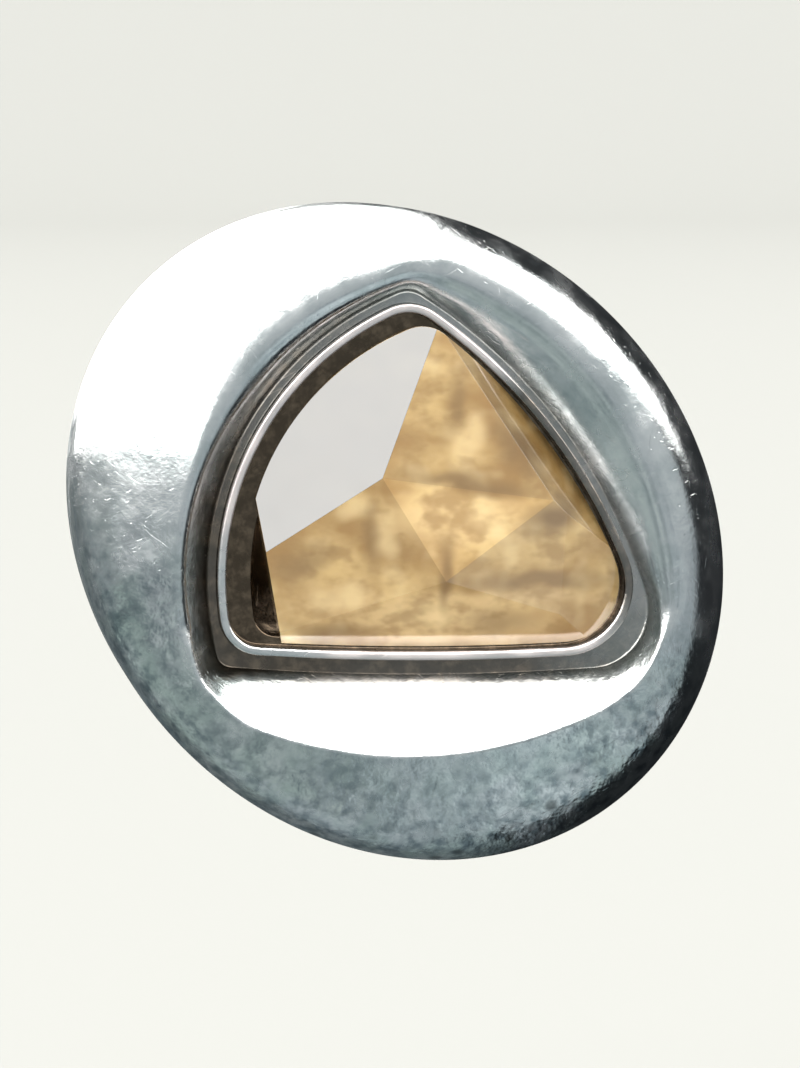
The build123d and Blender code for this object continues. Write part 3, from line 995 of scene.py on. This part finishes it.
# %% [markdown]
# ## The stone's layers
# Noise stirs the places of the patches and veils, so that their edges wander. Over deep honey
# lie lighter clouds, the cream painted light, the shadows, the gleams and the brown veils with
# their painted shade, and the facet's share of the inner light scales the whole. The stone is
# hidden from mirror rays, because polished silver would show its colour as a strong tint
# beside it, and the worn silver shows none.

# %% Make the stone's material
DEEP_HONEY, LIGHT_HONEY = (0.34, 0.195, 0.062, 1), (0.60, 0.41, 0.17, 1)
PAINTED_LIGHT_CREAM, GLEAM = (0.68, 0.48, 0.235, 1), (0.80, 0.60, 0.31, 1)
SHADOW_BROWN, VEIL_AND_SHADE_BROWN = (0.26, 0.14, 0.04, 1), (0.20, 0.11, 0.035, 1)
STIR = 0.30


def stirred_place(nodes, place):
    """The place moved by noise, at most by half of STIR."""
    stir = nodes.add("ShaderNodeTexNoise", Vector=place, Scale=2.0, Detail=1.0, Roughness=0.5)
    moved = nodes.first(
        "ShaderNodeVectorMath", {"operation": "MULTIPLY_ADD"},
        i0=stir.outputs["Color"], i1=(STIR, 0.0, STIR), i2=place,
    )
    return nodes.first("ShaderNodeMapping", Vector=moved, Location=(-STIR / 2, 0.0, -STIR / 2))


def honey_colour(nodes, place):
    wavy = stirred_place(nodes, place)
    grain_place = nodes.millimetres((0, 0, 0), (1.0, 1.0, 1.5))
    gleam_place = nodes.millimetres((0.3, 0.2, 0.5))
    return nodes.layered(DEEP_HONEY, [
        (nodes.ramp(nodes.noise(grain_place, 1.5, 2.5, 0.55), 0.34, 0.62), LIGHT_HONEY),
        # cream patches of painted light
        *[(soft_patch(nodes, wavy, *spot), PAINTED_LIGHT_CREAM) for spot in PAINTED_LIGHT_PATCHES],
        (nodes.ramp(nodes.noise(grain_place, 3.0, 2.5, 0.55), 0.40, 0.68, 0.0, 0.65), SHADOW_BROWN),
        (nodes.ramp(nodes.noise(gleam_place, 2.3, 1.5, 0.5), 0.48, 0.72, 0.0, 0.60), GLEAM),
        # brown veils with painted shade
        *[(soft_patch(nodes, wavy, *spot), VEIL_AND_SHADE_BROWN) for spot in BROWN_VEILS_AND_SHADE],
    ])


def honey_stone():
    material, nodes = new_material("honey stone")
    place = nodes.millimetres()
    colour, light = honey_colour(nodes, place), nodes.attribute("inner_light")
    lit = nodes.first("ShaderNodeVectorMath", {"operation": "SCALE"}, Vector=colour, Scale=light)
    ripple = nodes.noise(place, 1.3, 1.0)
    nodes.surface(
        Base_Color=lit, Roughness=0.10, IOR=2.1, Specular_IOR_Level=0.62,
        Subsurface_Weight=0.15, Subsurface_Scale=0.0004, Subsurface_Radius=(1.0, 0.6, 0.3),
        Normal=nodes.first("ShaderNodeBump", Strength=0.6, Distance=0.02 * MILLIMETRE, Height=ripple),
    )
    return material


stone.data.materials.append(honey_stone())
stone.visible_glossy = False

# %% [markdown]
# ## Handing the pieces over
# Each new piece rides on the root body and takes the place of its node of the imported model, which is
# hidden.

# %% Ride on the root and replace
for piece, node, finish in [
    (setting, "bezel_setting", "silver_face"),
    (stone, "stone", "honey_stone"),
    (clutch, "clutch_back", "silver_clutch"),
]:
    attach(piece, "root")
    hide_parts(node)
    print(piece.name, "has", len(piece.data.polygons), "faces")

# %% [markdown]
# ## The pale floor
# The stud is held up as if it were worn, a little above a plain pale floor that curves up
# behind it, as a roll of paper does in a studio. Polished silver mirrors all that is round
# it, so the floor is hidden from mirror rays, and the world takes its place there.

# %% Model the floor
FLOOR_LEVEL = -0.009
FLOOR_HALF_WIDTH, FLOOR_FRONT, FLOOR_BACK, SWEEP_RADIUS, WALL_HEIGHT = 1.2, -1.2, 0.7, 0.4, 1.2

select_nothing()
bpy.ops.mesh.primitive_plane_add(size=1, location=(0, (FLOOR_FRONT + FLOOR_BACK) / 2, FLOOR_LEVEL))
floor = bpy.context.object
floor.name = floor.data.name = "studio_floor"
floor.scale = (2 * FLOOR_HALF_WIDTH, FLOOR_BACK - FLOOR_FRONT, 1)
bpy.ops.object.transform_apply(location=True, rotation=True, scale=True)
bpy.ops.object.mode_set(mode="EDIT")
bpy.ops.mesh.select_mode(type="EDGE")
bpy.ops.mesh.select_all(action="DESELECT")
sheet = bmesh.from_edit_mesh(floor.data)
for edge in sheet.edges:
    edge.select = all(vertex.co.y > FLOOR_BACK - 0.01 for vertex in edge.verts)
bmesh.update_edit_mesh(floor.data)
bpy.ops.mesh.spin(
    steps=24, angle=-math.pi / 2, center=(0, FLOOR_BACK, FLOOR_LEVEL + SWEEP_RADIUS), axis=(1, 0, 0),
)
bpy.ops.mesh.extrude_region_move(TRANSFORM_OT_translate={"value": (0, 0, WALL_HEIGHT)})
bpy.ops.mesh.select_all(action="SELECT")
bpy.ops.mesh.remove_doubles(threshold=0.0001)
leave_edit_mode()
if floor.data.polygons[0].normal.z < 0:
    floor.data.flip_normals()
bpy.ops.object.shade_smooth()

paper, nodes = new_material("pale paper")
nodes.surface(Base_Color=(0.33, 0.33, 0.315, 1), Roughness=1.0, Specular_IOR_Level=0.0)
floor.data.materials.append(paper)
floor.visible_glossy = False
floor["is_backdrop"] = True

# %% [markdown]
# ## The walls of the room
# A round, polished piece is a picture of the room. The walls of this room are grey-blue,
# lighter low on the right, dark behind the stud, and broken by some clutter below. A dark
# flat on the right draws the dark line down the right edge. All is built in the world's nodes
# from directions alone: right, back and up are the parts of a direction, and a wall begins
# where a part, or a weighted sum of parts, passes a limit.

# %% Build the walls of the room
MIDDLE_WALL, LEFT_WALL = (0.46, 0.50, 0.51, 1), (0.31, 0.34, 0.34, 1)
LOW_LEFT_WALL, LOW_RIGHT_WALL = (0.43, 0.50, 0.48, 1), (0.60, 0.69, 0.71, 1)
GROUND, BACK_WALL = (0.46, 0.52, 0.54, 1), (0.17, 0.19, 0.19, 1)
CLUTTER, DARK_FLAT = (0.055, 0.085, 0.11, 1), (0.018, 0.02, 0.022, 1)

world = bpy.data.worlds.new("soft studio")
world.use_nodes = True
bpy.context.scene.world = world
nodes = Nodes(world.node_tree)
direction = nodes.add("ShaderNodeTexCoord").outputs["Generated"]
parts = nodes.add("ShaderNodeSeparateXYZ", Vector=direction)
right, back, up = parts.outputs["X"], parts.outputs["Y"], parts.outputs["Z"]


def over(value, limit, soft=0.02):
    """1 where a value is over a limit, with a soft edge."""
    return nodes.ramp(value, limit - soft, limit + soft)


low_walls = nodes.blend(nodes.ramp(right, -0.22, 0.34), LOW_LEFT_WALL, LOW_RIGHT_WALL)
clutter = nodes.ramp(nodes.noise(direction, 6.0, 4.0, 0.65), 0.38, 0.62)
turn = nodes.math("ARCTAN2", up, right)
flat_sector = nodes.product(nodes.ramp(turn, 1.30, 1.16), nodes.ramp(turn, -1.40, -1.05))
narrower = nodes.ramp(turn, -0.15, -0.70, 0.0, 0.12)
flat_side = over(nodes.math("SUBTRACT", back, narrower), -0.50, 0.06)
walls = nodes.layered(MIDDLE_WALL, [
    (nodes.ramp(right, -0.35, -0.85), LEFT_WALL),
    (nodes.ramp(up, -0.10, -0.50), low_walls),
    (nodes.ramp(up, -0.76, -0.98), GROUND),
    (nodes.ramp(back, 0.0, 0.6), BACK_WALL),
    (nodes.product(nodes.ramp(up, 0.20, -0.30, 0.25, 1.0), clutter, 0.75), CLUTTER),
    (nodes.product(flat_side, flat_sector), DARK_FLAT),
])

# %% [markdown]
# ## The softbox
# One long softbox overhead turns the upper slope of the dome and the lower bevel white. Its
# edges are limits too, and their product is 1 inside it. A small round card on the left
# stands where the left facet of the stone mirrors it, so that this facet flashes.

# %% Hang the softbox
SOFTBOX_POWER = 4.4
SOFTBOX_COLOUR = (SOFTBOX_POWER, SOFTBOX_POWER, SOFTBOX_POWER * 0.98, 1)
CARD_WAY = (-0.482, -0.842, 0.242)

front_lean = nodes.plus(nodes.plus(back, right, -0.114), up, 0.0585)
front_edge = nodes.math("POWER", over(front_lean, -0.785, 0.09), 2.0)
left_edge = over(nodes.plus(up, nodes.math("MAXIMUM", back, 0.0), 0.22), 0.225)
right_edge = nodes.math("MAXIMUM", over(nodes.plus(up, right, 0.35), 0.62), nodes.ramp(right, 0.08, 0.0))
back_corner = nodes.product(over(back, -0.10, 0.05), over(nodes.plus(right, up, -0.30), 0.0))
softbox = nodes.product(front_edge, left_edge, right_edge, nodes.math("SUBTRACT", 1.0, back_corner))
nearness = nodes.add("ShaderNodeVectorMath", {"operation": "DOT_PRODUCT"}, i0=direction, i1=CARD_WAY)
card = nodes.product(over(nearness.outputs["Value"], 0.987, 0.004), over(up, 0.19))
room = nodes.blend(nodes.math("MAXIMUM", softbox, card), walls, SOFTBOX_COLOUR)
background = nodes.first("ShaderNodeBackground", Color=room, Strength=1.0)
nodes.add("ShaderNodeOutputWorld", Surface=background)

# %% [markdown]
# ## The camera
# A long lens from close by is how such small things are photographed. The camera looks at the
# face from six degrees to the left and four degrees above, and everything stays in focus.

# %% Place the camera
AZIMUTH, ELEVATION = math.radians(-6), math.radians(4)
CAMERA_DISTANCE = 0.0600
target = Vector((0, -0.0012, 0))
towards_camera = Vector((
    math.sin(AZIMUTH) * math.cos(ELEVATION),
    -math.cos(AZIMUTH) * math.cos(ELEVATION),
    math.sin(ELEVATION),
))
lens = bpy.data.cameras.new("close up lens")
lens.lens = 200
lens.clip_start = 0.001
lens.clip_end = 20
camera = bpy.data.objects.new("close_up_camera", lens)
bpy.context.collection.objects.link(camera)
camera.location = target + towards_camera * CAMERA_DISTANCE
camera.rotation_euler = (-towards_camera).to_track_quat("-Z", "Y").to_euler()
bpy.context.scene.camera = camera
bpy.context.scene.view_settings.view_transform = "Standard"

# %% [markdown]
# ## Measure and finish
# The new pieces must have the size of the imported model. Both boxes are written down, so that
# they can be compared.

# %% Write the sizes and finish
seen_low, seen_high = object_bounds()
boxes = {"cad": [list(cad_low), list(cad_high)], "visual": [list(seen_low), list(seen_high)]}
for name, (low, high) in boxes.items():
    print(name, "size in mm:", [round(1000 * (b - a), 2) for a, b in zip(low, high)])
